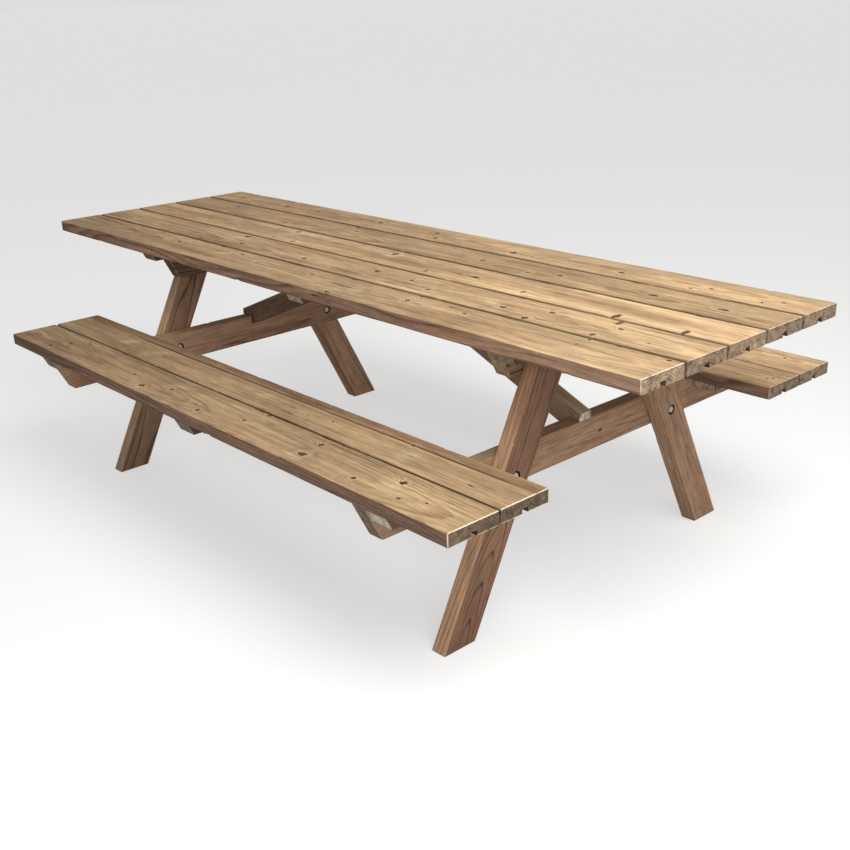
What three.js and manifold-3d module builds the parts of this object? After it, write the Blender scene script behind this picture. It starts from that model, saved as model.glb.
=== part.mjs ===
// A wooden picnic table with two fixed benches, in millimetres, +Z up.
//
// The origin is the middle of the footprint on the ground. +X runs along the boards, +Y from the front
// bench to the back bench. Two splayed frames carry everything: in each one a seat beam and a top cleat
// are bolted to the inboard faces of two legs. Battens hold the boards of the top and of each bench
// together, and two braces run from the middle of the top down to the seat beams.

import * as THREE from 'three';
import { mergeVertices } from 'three/addons/utils/BufferGeometryUtils.js';
import Module from 'manifold-3d';

const wasm = await Module();
wasm.setup();

// ---- driving dimensions -------------------------------------------------------------------------

// Overall
const TABLE_HEIGHT = 730;
const SEAT_HEIGHT = 460;
const OVERALL_DEPTH = 1440;
const TOP_LENGTH = 2480;
const BENCH_LENGTH = 2000;

// Stock: width and thickness of each kind of sawn timber
const BOARD = { width: 145, thick: 34 };
const FRAME_TIMBER = { width: 90, thick: 45 };
const BATTEN = { width: 65, thick: 34 };
const BRACE = { width: 60, thick: 45 };
const ARRIS_RADIUS = 3;
const ARRIS_STEPS = 2;

// Boards
const TOP_BOARDS = 5;
const BENCH_BOARDS = 2;
const BOARD_GAP = 5;
const GROOVE = { width: 18, depth: 12, radius: 4 };

// Frames
const FRAMES_SHIFT = 55; // the frames and benches stand this far towards +X from the middle of the top
const FRAME_REACH = 790; // from the frames' middle plane to the outboard faces of the legs
const SPLAY = THREE.MathUtils.degToRad(26.7);
const FOOT_REACH = 543; // from the middle plane to the outer edge of a foot, at the ground
const BEAM_END = 718; // ends at the upper edge: the sawn ends slope inwards below it
const CLEAT_END = 318;

// Battens
const TOP_BATTEN_END = 343;
const BENCH_BATTEN_OUTER_END = 716;
const BENCH_BATTEN_INNER_END = 463;

// Braces
const BRACE_SLOPE = 0.41;
const BRACE_ABOVE_BEAM = 19; // the brace's upper edge over the beam's top, at the beam's outboard face

// Fasteners: M10 hexagon bolts, set in counterbores at both ends
const BOLT = { radius: 5, headWidth: 16, headHeight: 6.4, sides: 16 };
const NUT = { width: 16, height: 8 };
const WASHER = { outer: 10, inner: 5.5, thick: 2, sides: 24 };
const BOLT_HOLE_RADIUS = 5.5;
const COUNTERBORE_RADIUS = 14;
const NUT_COUNTERBORE = 12;
const HEAD_COUNTERBORE = 10;
const THREAD_PAST_NUT = 0.9;
const HOLE_SIDES = 24;

// Clearance between faces that meet
const FIT_GAP = 0.3;

// ---- levels and lines worked out from them ------------------------------------------------------

const SPLAY_SLOPE = Math.tan(SPLAY);
const BOARD_PITCH = BOARD.width + BOARD_GAP;
const TOP_UNDERSIDE = TABLE_HEIGHT - BOARD.thick;
const SEAT_UNDERSIDE = SEAT_HEIGHT - BOARD.thick;
const LEG_HEIGHT = TOP_UNDERSIDE - BATTEN.thick - 2 * FIT_GAP;
const LEG_INBOARD = FRAME_REACH - FRAME_TIMBER.thick;
const BEAM_OUTBOARD = LEG_INBOARD - FIT_GAP;
const BEAM_INBOARD = BEAM_OUTBOARD - FRAME_TIMBER.thick;
const BEAM_MIDDLE_Z = SEAT_UNDERSIDE - FIT_GAP - FRAME_TIMBER.width / 2;
const CLEAT_MIDDLE_Z = TOP_UNDERSIDE - FIT_GAP - FRAME_TIMBER.width / 2;
const CLEAT_BOTTOM = CLEAT_MIDDLE_Z - FRAME_TIMBER.width / 2;
const LEG_AXIS_FOOT = FOOT_REACH - FRAME_TIMBER.width / Math.cos(SPLAY) / 2;

// Distance of a leg's middle line from the middle plane at height z
function legAxisAt(z) {
  return LEG_AXIS_FOOT - SPLAY_SLOPE * z;
}

// Each leg is bolted at two heights
const BOLT_LEVELS = { seat: BEAM_MIDDLE_Z, top: (CLEAT_BOTTOM + LEG_HEIGHT) / 2 };

// The four ways a piece can be mirrored
const ENDS = { left: -1, right: 1 };
const SIDES = { front: -1, back: 1 };

// ---- materials ----------------------------------------------------------------------------------

const boardWood = new THREE.MeshStandardMaterial({ color: 0xc8a577, roughness: 0.7, metalness: 0 });
const frameWood = new THREE.MeshStandardMaterial({ color: 0x7a5c46, roughness: 0.75, metalness: 0 });
const zincSteel = new THREE.MeshStandardMaterial({ color: 0xb4b8bc, roughness: 0.35, metalness: 0.9 });

// ---- helpers ------------------------------------------------------------------------------------

const table = new THREE.Group();

// Adds a mesh whose local Z runs along "along" and whose local X runs along "across"
function addPiece(name, geometry, material, origin, along, across) {
  const mesh = new THREE.Mesh(geometry, material);
  mesh.name = name;
  const third = new THREE.Vector3().crossVectors(along, across);
  const basis = new THREE.Matrix4().makeBasis(across, third, along);
  mesh.quaternion.setFromRotationMatrix(basis);
  mesh.position.copy(origin);
  table.add(mesh);
}

function toSolid(geometry) {
  const bare = geometry.clone();
  bare.deleteAttribute('normal');
  bare.deleteAttribute('uv');
  const merged = mergeVertices(bare, 1e-4);
  const vertProperties = new Float32Array(merged.attributes.position.array);
  const triVerts = new Uint32Array(merged.index.array);
  return new wasm.Manifold(new wasm.Mesh({ numProp: 3, vertProperties, triVerts }));
}

function toGeometry(solid) {
  const mesh = solid.getMesh();
  const geometry = new THREE.BufferGeometry();
  geometry.setAttribute('position', new THREE.BufferAttribute(mesh.vertProperties, 3));
  geometry.setIndex(new THREE.BufferAttribute(mesh.triVerts, 1));
  geometry.computeVertexNormals();
  return geometry;
}

// Rounds the corner between the current point and the next side of an outline
function arcCorner(shape, x, y, startAngle, radius = ARRIS_RADIUS) {
  shape.absarc(x, y, radius, startAngle, startAngle + Math.PI / 2, false);
}

// Rectangular section with rounded arrises, centred on the origin
function timberSection(width, thick) {
  const x = width / 2 - ARRIS_RADIUS;
  const y = thick / 2 - ARRIS_RADIUS;
  const shape = new THREE.Shape();
  shape.moveTo(-x, -y - ARRIS_RADIUS);
  arcCorner(shape, x, -y, -Math.PI / 2);
  arcCorner(shape, x, y, 0);
  arcCorner(shape, -x, y, Math.PI / 2);
  arcCorner(shape, -x, -y, Math.PI);
  return shape;
}

// The same for a board, with the relief groove along the middle of its underside
function boardSection() {
  const x = BOARD.width / 2 - ARRIS_RADIUS;
  const y = BOARD.thick / 2 - ARRIS_RADIUS;
  const half = GROOVE.width / 2;
  const bottom = -BOARD.thick / 2;
  const grooveTop = bottom + GROOVE.depth;
  const shape = new THREE.Shape();
  shape.moveTo(half, bottom);
  arcCorner(shape, x, -y, -Math.PI / 2);
  arcCorner(shape, x, y, 0);
  arcCorner(shape, -x, y, Math.PI / 2);
  arcCorner(shape, -x, -y, Math.PI);
  shape.lineTo(-half, bottom);
  shape.lineTo(-half, grooveTop - GROOVE.radius);
  shape.absarc(-half + GROOVE.radius, grooveTop - GROOVE.radius, GROOVE.radius, Math.PI, Math.PI / 2, true);
  shape.absarc(half - GROOVE.radius, grooveTop - GROOVE.radius, GROOVE.radius, Math.PI / 2, 0, true);
  shape.lineTo(half, bottom);
  return shape;
}

// A section sawn to length, from z = 0 to z = length. Each end leans along local X by its own slope.
function sawn(section, length, startSlope = 0, endSlope = 0) {
  const geometry = new THREE.ExtrudeGeometry(section, {
    depth: length, steps: 1, bevelEnabled: false, curveSegments: ARRIS_STEPS,
  });
  const position = geometry.attributes.position;
  for (let i = 0; i < position.count; i++) {
    const slope = position.getZ(i) > length / 2 ? endSlope : startSlope;
    position.setZ(i, position.getZ(i) + slope * position.getX(i));
  }
  return geometry;
}

// A cylinder along local Y between two heights
function yCylinder(radius, from, to) {
  const geometry = new THREE.CylinderGeometry(radius, radius, to - from, HOLE_SIDES);
  geometry.translate(0, (from + to) / 2, 0);
  return geometry;
}

// Cuts bolt holes through the thickness of a frame timber, each with a counterbore on the +Y or -Y face
function drill(geometry, holes, boreSide, boreDepth) {
  const face = FRAME_TIMBER.thick / 2;
  const through = yCylinder(BOLT_HOLE_RADIUS, -face - 1, face + 1);
  const bore = boreSide > 0
    ? yCylinder(COUNTERBORE_RADIUS, face - boreDepth, face + 1)
    : yCylinder(COUNTERBORE_RADIUS, -face - 1, -face + boreDepth);
  const tool = toSolid(through).add(toSolid(bore));
  let solid = toSolid(geometry);
  for (const hole of holes) {
    solid = solid.subtract(tool.translate([hole.across, 0, hole.along]));
  }
  return toGeometry(solid);
}

const X_AXIS = new THREE.Vector3(1, 0, 0);
const Y_AXIS = new THREE.Vector3(0, 1, 0);
const Z_AXIS = new THREE.Vector3(0, 0, 1);

// ---- boards -------------------------------------------------------------------------------------

function addBoard(name, length, middleX, y, topZ) {
  const origin = new THREE.Vector3(middleX - length / 2, y, topZ - BOARD.thick / 2);
  addPiece(name, sawn(boardSection(), length), boardWood, origin, X_AXIS, Y_AXIS);
}

function addTopBoards() {
  for (let i = 0; i < TOP_BOARDS; i++) {
    const y = (i - (TOP_BOARDS - 1) / 2) * BOARD_PITCH;
    addBoard(`top_board_${i + 1}`, TOP_LENGTH, 0, y, TABLE_HEIGHT);
  }
}

function addBenchBoards(sideName) {
  const names = ['outer', 'inner'];
  for (let i = 0; i < BENCH_BOARDS; i++) {
    const y = OVERALL_DEPTH / 2 - BOARD.width / 2 - i * BOARD_PITCH;
    const name = `${sideName}_bench_${names[i]}_board`;
    addBoard(name, BENCH_LENGTH, FRAMES_SHIFT, SIDES[sideName] * y, SEAT_HEIGHT);
  }
}

// ---- battens ------------------------------------------------------------------------------------

// Offset of a batten's middle from the frames' middle plane: the outer ones lie against the beams
const BATTEN_OFFSETS = {
  left: -LEG_INBOARD - BATTEN.width / 2,
  middle: 0,
  right: LEG_INBOARD + BATTEN.width / 2,
};

// A batten along Y under boards whose underside is at topZ. y0 and y1 are its ends at its upper face.
function addBatten(name, place, y0, y1, slope0, slope1, topZ) {
  const z = topZ - FIT_GAP - BATTEN.thick / 2;
  const shift0 = slope0 * BATTEN.thick / 2;
  const shift1 = slope1 * BATTEN.thick / 2;
  const origin = new THREE.Vector3(FRAMES_SHIFT + BATTEN_OFFSETS[place], y0 - shift0, z);
  const section = timberSection(BATTEN.thick, BATTEN.width);
  const geometry = sawn(section, y1 - shift1 - (y0 - shift0), slope0, slope1);
  addPiece(name, geometry, frameWood, origin, Y_AXIS, Z_AXIS);
}

function addBattens() {
  const lean = SPLAY_SLOPE;
  for (const place of Object.keys(BATTEN_OFFSETS)) {
    addBatten(`${place}_top_batten`, place, -TOP_BATTEN_END, TOP_BATTEN_END, -lean, lean, TOP_UNDERSIDE);
    const outer = BENCH_BATTEN_OUTER_END;
    const inner = BENCH_BATTEN_INNER_END;
    addBatten(`${place}_front_bench_batten`, place, -outer, -inner, -lean, 0, SEAT_UNDERSIDE);
    addBatten(`${place}_back_bench_batten`, place, inner, outer, 0, lean, SEAT_UNDERSIDE);
  }
}

// ---- frames -------------------------------------------------------------------------------------

function addLeg(endName, sideName) {
  const end = ENDS[endName];
  const side = SIDES[sideName];
  const length = LEG_HEIGHT / Math.cos(SPLAY);
  const along = new THREE.Vector3(0, -side * Math.sin(SPLAY), Math.cos(SPLAY));
  const across = new THREE.Vector3(0, -side * Math.cos(SPLAY), -Math.sin(SPLAY));
  const section = timberSection(FRAME_TIMBER.width, FRAME_TIMBER.thick);
  const blank = sawn(section, length, SPLAY_SLOPE, SPLAY_SLOPE);
  const holes = Object.values(BOLT_LEVELS).map((z) => ({ across: 0, along: z / Math.cos(SPLAY) }));
  // Local +Y of a back leg looks along +X, and of a front leg along -X
  const geometry = drill(blank, holes, end * side, NUT_COUNTERBORE);
  const middleX = FRAMES_SHIFT + end * (LEG_INBOARD + FRAME_TIMBER.thick / 2);
  const origin = new THREE.Vector3(middleX, side * LEG_AXIS_FOOT, 0);
  addPiece(`${endName}_${sideName}_leg`, geometry, frameWood, origin, along, across);
}

// A timber along Y, bolted to the inboard faces of a frame's legs
function addCrossTimber(name, endName, reach, middleZ, boltZ) {
  const end = ENDS[endName];
  const half = reach - SPLAY_SLOPE * FRAME_TIMBER.width / 2;
  const section = timberSection(FRAME_TIMBER.width, FRAME_TIMBER.thick);
  const blank = sawn(section, 2 * half, -SPLAY_SLOPE, SPLAY_SLOPE);
  const holes = Object.values(SIDES).map((side) => (
    { across: boltZ - middleZ, along: half + side * legAxisAt(boltZ) }
  ));
  const geometry = drill(blank, holes, -end, HEAD_COUNTERBORE);
  const middleX = FRAMES_SHIFT + end * (BEAM_INBOARD + FRAME_TIMBER.thick / 2);
  const origin = new THREE.Vector3(middleX, -half, middleZ);
  addPiece(name, geometry, frameWood, origin, Y_AXIS, Z_AXIS);
}

function addFrame(endName) {
  for (const sideName of Object.keys(SIDES)) {
    addLeg(endName, sideName);
  }
  addCrossTimber(`${endName}_seat_beam`, endName, BEAM_END, BEAM_MIDDLE_Z, BOLT_LEVELS.seat);
  addCrossTimber(`${endName}_top_cleat`, endName, CLEAT_END, CLEAT_MIDDLE_Z, BOLT_LEVELS.top);
}

// ---- braces -------------------------------------------------------------------------------------

// Side view of a brace: x is the distance from the frames' middle plane, y the height. It stands with a
// birdsmouth over the beam's inboard upper edge and ends against the side of the middle top batten.
function braceOutline(end) {
  const seat = SEAT_UNDERSIDE;
  const top = TOP_UNDERSIDE - FIT_GAP;
  const foot = BEAM_OUTBOARD;
  const heel = BEAM_INBOARD - FIT_GAP;
  const head = BATTEN.width / 2 + FIT_GAP;
  const drop = BRACE.width / Math.cos(Math.atan(BRACE_SLOPE));
  const upperAt = (x) => seat + BRACE_ABOVE_BEAM + BRACE_SLOPE * (foot - x);
  const lowerAt = (x) => upperAt(x) - drop;
  const upperMeetsTop = foot - (top - seat - BRACE_ABOVE_BEAM) / BRACE_SLOPE;
  const points = [
    [foot, upperAt(foot)],
    [upperMeetsTop, top],
    [head, top],
    [head, lowerAt(head)],
    [heel, lowerAt(heel)],
    [heel, seat],
    [foot, seat],
  ];
  return new THREE.Shape(points.map(([x, y]) => new THREE.Vector2(end * x, y)));
}

function addBrace(endName) {
  const geometry = new THREE.ExtrudeGeometry(braceOutline(ENDS[endName]), {
    depth: BRACE.thick - 2 * ARRIS_RADIUS,
    steps: 1,
    bevelEnabled: true,
    bevelThickness: ARRIS_RADIUS,
    bevelSize: ARRIS_RADIUS,
    bevelOffset: -ARRIS_RADIUS,
    bevelSegments: ARRIS_STEPS,
  });
  geometry.translate(0, 0, ARRIS_RADIUS - BRACE.thick / 2);
  const origin = new THREE.Vector3(FRAMES_SHIFT, 0, 0);
  const along = Y_AXIS.clone().negate();
  addPiece(`${endName}_brace`, geometry, frameWood, origin, along, X_AXIS);
}

// ---- fasteners ----------------------------------------------------------------------------------

// Regular polygon outline with a given distance from its middle to its corners
function polygon(corner, sides) {
  const points = [];
  for (let i = 0; i < sides; i++) {
    const angle = (2 * Math.PI * i) / sides;
    points.push(new THREE.Vector2(corner * Math.cos(angle), corner * Math.sin(angle)));
  }
  return points;
}

function ringGeometry(outline, holeRadius, thick) {
  const shape = new THREE.Shape(outline);
  shape.holes.push(new THREE.Path(polygon(holeRadius, BOLT.sides)));
  return new THREE.ExtrudeGeometry(shape, { depth: thick, steps: 1, bevelEnabled: false });
}

function hexagon(acrossFlats) {
  return polygon(acrossFlats / Math.sqrt(3), 6);
}

// Head from z = -headHeight to 0, shank from 0 to length
function boltGeometry(length) {
  const head = new THREE.ExtrudeGeometry(new THREE.Shape(hexagon(BOLT.headWidth)), {
    depth: BOLT.headHeight, steps: 1, bevelEnabled: false,
  });
  head.translate(0, 0, -BOLT.headHeight);
  const shank = new THREE.CylinderGeometry(BOLT.radius, BOLT.radius, length + 1, BOLT.sides);
  shank.rotateX(Math.PI / 2);
  shank.translate(0, 0, (length - 1) / 2);
  return toGeometry(toSolid(head).add(toSolid(shank)));
}

// One bolt with its nut and two washers, along the frame's outboard direction
function addBoltSet(endName, sideName, levelName) {
  const end = ENDS[endName];
  const z = BOLT_LEVELS[levelName];
  const y = SIDES[sideName] * legAxisAt(z);
  const along = X_AXIS.clone().multiplyScalar(end);
  const prefix = `${endName}_${sideName}_${levelName}`;
  const at = (reach) => new THREE.Vector3(FRAMES_SHIFT + end * reach, y, z);

  const headFloor = BEAM_INBOARD + HEAD_COUNTERBORE;
  const headWasher = headFloor - FIT_GAP - WASHER.thick;
  const headSeat = headWasher - FIT_GAP;
  const nutFloor = FRAME_REACH - NUT_COUNTERBORE;
  const nutWasher = nutFloor + FIT_GAP;
  const nut = nutWasher + WASHER.thick + FIT_GAP;
  const tip = nut + NUT.height + THREAD_PAST_NUT;

  const washer = ringGeometry(polygon(WASHER.outer, WASHER.sides), WASHER.inner, WASHER.thick);
  const nutGeometry = ringGeometry(hexagon(NUT.width), BOLT.radius + FIT_GAP, NUT.height);
  addPiece(`${prefix}_bolt`, boltGeometry(tip - headSeat), zincSteel, at(headSeat), along, Z_AXIS);
  addPiece(`${prefix}_head_washer`, washer, zincSteel, at(headWasher), along, Z_AXIS);
  addPiece(`${prefix}_nut_washer`, washer.clone(), zincSteel, at(nutWasher), along, Z_AXIS);
  addPiece(`${prefix}_nut`, nutGeometry, zincSteel, at(nut), along, Z_AXIS);
}

// ---- assembly -----------------------------------------------------------------------------------

addTopBoards();
for (const sideName of Object.keys(SIDES)) {
  addBenchBoards(sideName);
}
addBattens();
for (const endName of Object.keys(ENDS)) {
  addFrame(endName);
  addBrace(endName);
  for (const sideName of Object.keys(SIDES)) {
    for (const levelName of Object.keys(BOLT_LEVELS)) {
      addBoltSet(endName, sideName, levelName);
    }
  }
}

export default table;
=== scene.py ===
import math
import random
from dataclasses import dataclass

import bmesh
import bpy
from mathutils import Matrix, Vector, noise


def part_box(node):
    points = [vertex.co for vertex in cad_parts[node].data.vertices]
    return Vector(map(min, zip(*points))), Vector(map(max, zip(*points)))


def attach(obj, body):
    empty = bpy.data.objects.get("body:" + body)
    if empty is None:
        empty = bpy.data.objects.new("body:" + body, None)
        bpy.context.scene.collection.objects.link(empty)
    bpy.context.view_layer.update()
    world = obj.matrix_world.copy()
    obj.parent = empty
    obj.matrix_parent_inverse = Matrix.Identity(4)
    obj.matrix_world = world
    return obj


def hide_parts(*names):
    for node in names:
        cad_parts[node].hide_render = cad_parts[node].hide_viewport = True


# Looks of the picnic table. Every timber is built again here as a finer mesh in the place of its CAD
# node, with worn arrises, chips and bolt holes, and gets its own cut through a procedural log: growth
# rings round a pith, knots, fibres, heartwood and drying checks. Bolts, nuts and washers are built again
# with chamfers and threads, and the wood screws are added. Metres, in the frame of the CAD model.

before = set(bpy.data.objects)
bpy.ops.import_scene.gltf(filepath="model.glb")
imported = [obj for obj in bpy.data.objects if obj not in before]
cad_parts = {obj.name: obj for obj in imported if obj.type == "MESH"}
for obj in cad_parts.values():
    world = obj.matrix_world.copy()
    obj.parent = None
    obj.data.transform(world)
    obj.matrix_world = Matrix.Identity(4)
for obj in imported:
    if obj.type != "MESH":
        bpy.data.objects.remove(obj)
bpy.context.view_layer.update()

MM = 0.001
X_AXIS = Vector((1, 0, 0))
Y_AXIS = Vector((0, 1, 0))
Z_AXIS = Vector((0, 0, 1))

# ---- sizes that the frame doesn't give ----

ARRIS_RADIUS = 3 * MM
ARRIS_STEPS = 4
END_ARRIS = 1.2 * MM
STATION_SPACING = 20 * MM
FACE_POINTS = (4 * MM, 11 * MM)  # lines of points on a face, this far from each arris
FACE_SPACING = 18 * MM
CHIPS_PER_METRE = 2.2  # on each arris
CHIP_LENGTHS = (8 * MM, 38 * MM)
CHIP_DEPTHS = (0.6 * MM, 2.6 * MM)
CHIP_STOPS = (-0.5, -0.4, -0.1, 0.2, 0.42, 0.5)
WAVE_DEPTH = 0.12 * MM  # how far the faces wave in from the sawn outline
RUB_DEPTH = 0.7 * MM  # how far an arris is rubbed away here and there
SLIVER = 0.01 * MM  # points nearer than this are merged
SHARP_ANGLE = math.radians(32)

WIDEST_GAP = 10 * MM
GROOVE_WIDTH = 18 * MM
GROOVE_DEPTH = 12 * MM
GROOVE_RADIUS = 4 * MM

BRACE_WIDTH = 60 * MM
BRACE_SLOPE = 0.41

BORE_RADIUS = 14 * MM
HOLE_RADIUS = 5.5 * MM
NUT_BORE_DEPTH = 12 * MM
HEAD_BORE_DEPTH = 10 * MM
BEYOND = 1 * MM  # how far a cutter sticks out

BOLT_RADIUS = 5 * MM
BOLT_PITCH = 1.5 * MM
THREAD_LENGTH = 26 * MM
THREAD_DEPTH = 0.55 * MM
THREAD_STEPS = 4  # rings of points in one turn of the thread
BOLT_TIP = 1 * MM
FACE_SHARE = 0.94  # radius of a head's or nut's round face, as a share of its flats'
CHAMFER_SLOPE = math.tan(math.radians(30))
EDGE_BREAK = 0.3 * MM
HEAD_GAP = 0.3 * MM  # left between a bolt's head and its washer
NUT_GAP = 0.1 * MM
NUT_LEAD = 0.5 * MM
RING_SIDES = 48
RING_ANGLES = [2 * math.pi * i / RING_SIDES for i in range(RING_SIDES)]

SCREW_HEAD_RADIUS = 5 * MM
SCREW_SHANK_RADIUS = 2.4 * MM
SCREW_HEAD_HEIGHT = 1.2 * MM
SCREW_INTO_BOARD = 24 * MM
SCREW_OFFSET = 38 * MM  # from the middle of a board, clear of its groove
SCREW_STAGGER = 0.2  # to either side of the batten's middle, as a share of its width
SCREW_MARGINS = (18 * MM, 12 * MM)  # nearest to a batten's front and back end
SCREW_NECK = 2.4 * MM
SCREW_POINT = 6 * MM
SCREW_TIP_RADIUS = 0.2 * MM
LOBE_RADIUS = 2.1 * MM  # of the recess in a screw's head, at its mouth
LOBE_FLOOR_RADIUS = 1.9 * MM
LOBE_RECESS = 1.6 * MM
LOBE_DEPTH = 0.28

ENDS = {"left": -1, "right": 1}
SIDES = {"front": -1, "back": 1}
LEVELS = ("seat", "top")
PLACES = ("left", "middle", "right")
BOLT_PARTS = ("bolt", "nut", "head_washer", "nut_washer")
TOP_BOARDS = [f"top_board_{i}" for i in range(1, 6)]
BENCH_BOARDS = [f"{side}_bench_{row}_board" for side in SIDES for row in ("outer", "inner")]


# ---- timbers: where each one lies ----

class Timber:
    """A sawn timber. Its own x runs across its width, y through its thickness and z along the grain."""

    def __init__(self, node, along, across, size, middle, slopes=(0, 0), groove=False):
        self.node = node
        self.along = along
        self.width, self.thick, self.length = size
        self.slopes = slopes
        self.groove = groove
        self.holes = []
        self.close_sides = ()
        through = along.cross(across)
        basis = Matrix((across, through, along)).transposed().to_4x4()
        self.matrix = Matrix.Translation(middle) @ basis

    def end_at(self, end, x):
        """Distance along the grain from the middle to an end's cut, at x across the width."""
        return end * self.length / 2 + self.slopes[0 if end < 0 else 1] * x

    def add_hole(self, centre, bore_towards, bore_depth):
        """Bolt hole through the thickness, with a counterbore on the face that looks along bore_towards."""
        local = self.matrix.inverted() @ centre
        through = self.matrix.to_3x3() @ Y_AXIS
        face = 1 if through.dot(bore_towards) > 0 else -1
        self.holes.append((local.x, local.z, face, bore_depth))


def measure(node):
    """Size and middle of a node's box."""
    low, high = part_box(node)
    return high - low, (low + high) / 2


def board_timber(node):
    size, middle = measure(node)
    board = Timber(node, X_AXIS, Y_AXIS, (size.y, size.z, size.x), middle, groove=True)
    board.close_sides = close_sides(node)
    return board


def close_sides(node):
    """The sides, -1 or 1 across, on which another board lies a narrow gap away."""
    size, middle = measure(node)
    sides = []
    for other in TOP_BOARDS + BENCH_BOARDS:
        away = measure(other)[1] - middle
        if abs(away.z) < WIDEST_GAP and 0 < abs(away.y) - size.y < WIDEST_GAP:
            sides.append(1 if away.y > 0 else -1)
    return sorted(sides)


def cross_timber(node, slopes):
    """A timber that lies along Y. The cut at each end slopes by as much as slopes says."""
    size, middle = measure(node)
    start, end = (abs(slope) * size.z / 2 for slope in slopes)
    middle.y += (start - end) / 2
    return Timber(node, Y_AXIS, Z_AXIS, (size.z, size.x, size.y - start - end), middle, slopes)


def leg_splay(node, width):
    """Angle of a leg off the vertical, from its box and the width of its stock."""
    size = measure(node)[0]
    return math.acos(width / math.hypot(size.y, size.z)) - math.atan2(size.z, size.y)


def leg_timber(node, splay, width):
    size, middle = measure(node)
    side = math.copysign(1, middle.y)
    along = Vector((0, -side * math.sin(splay), math.cos(splay)))
    across = Vector((0, -side * math.cos(splay), -math.sin(splay)))
    slope = math.tan(splay)
    return Timber(node, along, across, (width, size.x, size.z / math.cos(splay)), middle, (slope, slope))


def all_timbers():
    stock_width = measure("left_seat_beam")[0].z
    splay = leg_splay("left_front_leg", stock_width)
    lean = math.tan(splay)
    timbers = [board_timber(name) for name in TOP_BOARDS + BENCH_BOARDS]
    for place in PLACES:
        timbers.append(cross_timber(f"{place}_top_batten", (-lean, lean)))
        timbers.append(cross_timber(f"{place}_front_bench_batten", (-lean, 0)))
        timbers.append(cross_timber(f"{place}_back_bench_batten", (0, lean)))
    for end, sign in ENDS.items():
        beam = cross_timber(f"{end}_seat_beam", (-lean, lean))
        cleat = cross_timber(f"{end}_top_cleat", (-lean, lean))
        timbers += [beam, cleat]
        for side in SIDES:
            leg = leg_timber(f"{end}_{side}_leg", splay, stock_width)
            timbers.append(leg)
            for level, inboard in zip(LEVELS, (beam, cleat)):
                centre = measure(f"{end}_{side}_{level}_bolt")[1]
                leg.add_hole(centre, X_AXIS * sign, NUT_BORE_DEPTH)
                inboard.add_hole(centre, X_AXIS * -sign, HEAD_BORE_DEPTH)
    return sorted(timbers, key=lambda timber: timber.node)


# ---- timbers: their meshes ----

def face_stops(length):
    """Where the lines of points lie on a flat face of this length, from one arris to the other."""
    margin = FACE_POINTS[-1]
    near = [d for d in FACE_POINTS if d < length / 2]
    middle = length - 2 * margin
    count = round(middle / FACE_SPACING)
    between = [margin + middle * i / count for i in range(1, count)]
    return near + between + [length - d for d in reversed(near)]


def flat(points, start, end):
    """Adds the points of a flat face, as (place, outward normal, None)."""
    run = Vector(end) - Vector(start)
    normal = Vector((run.y, -run.x)).normalized()
    for stop in face_stops(run.length):
        points.append((Vector(start) + run * (stop / run.length), normal, None))


def arc(points, centre, radius, start, turn, arris=None):
    """Adds the points of a quarter round. It is hollow where the turn is clockwise."""
    for i in range(ARRIS_STEPS + 1):
        angle = start + turn * i / ARRIS_STEPS
        way = Vector((math.cos(angle), math.sin(angle)))
        points.append((Vector(centre) + way * radius, way if turn > 0 else -way, arris))


def groove_points(points, bottom):
    """The relief groove in the underside of a board, from -x to +x."""
    half = GROOVE_WIDTH / 2
    inner = half - GROOVE_RADIUS
    arc_height = bottom + GROOVE_DEPTH - GROOVE_RADIUS
    quarter = math.pi / 2
    points.append((Vector((-half, bottom)), Vector((0, -1)), None))
    arc(points, (-inner, arc_height), GROOVE_RADIUS, math.pi, -quarter)
    arc(points, (inner, arc_height), GROOVE_RADIUS, quarter, -quarter)
    points.append((Vector((half, bottom)), Vector((0, -1)), None))


def section(timber):
    """Outline of the timber's section, anticlockwise, as (place, outward normal, which arris or None)."""
    x = timber.width / 2
    y = timber.thick / 2
    cx = x - ARRIS_RADIUS
    cy = y - ARRIS_RADIUS
    quarter = math.pi / 2
    points = []
    arc(points, (cx, -cy), ARRIS_RADIUS, -quarter, quarter, 0)
    flat(points, (x, -cy), (x, cy))
    arc(points, (cx, cy), ARRIS_RADIUS, 0, quarter, 1)
    flat(points, (cx, y), (-cx, y))
    arc(points, (-cx, cy), ARRIS_RADIUS, quarter, quarter, 2)
    flat(points, (-x, cy), (-x, -cy))
    arc(points, (-cx, -cy), ARRIS_RADIUS, 2 * quarter, quarter, 3)
    if timber.groove:
        half = GROOVE_WIDTH / 2
        flat(points, (-cx, -y), (-half, -y))
        groove_points(points, -y)
        flat(points, (half, -y), (cx, -y))
    else:
        flat(points, (-cx, -y), (cx, -y))
    return points


def random_chips(timber, dice):
    """Small splinters lost from the arrises, as (arris, place along, length, depth)."""
    chips = []
    for arris in range(4):
        for _ in range(int(CHIPS_PER_METRE * timber.length * dice.uniform(0.4, 1.3))):
            place = dice.uniform(-0.47, 0.47) * timber.length
            chips.append((arris, place, dice.uniform(*CHIP_LENGTHS), dice.uniform(*CHIP_DEPTHS)))
    return chips


def stations(timber, chips):
    """Places along the grain of the rings of points, from -0.5 to 0.5 of the length."""
    count = max(4, round(timber.length / STATION_SPACING))
    places = {i / count - 0.5 for i in range(1, count)}
    for _, place, length, _ in chips:
        places.update((place + length * share) / timber.length for share in CHIP_STOPS)
    limit = 0.5 - 3 * MM / timber.length
    return sorted(p for p in places if abs(p) < limit)


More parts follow.
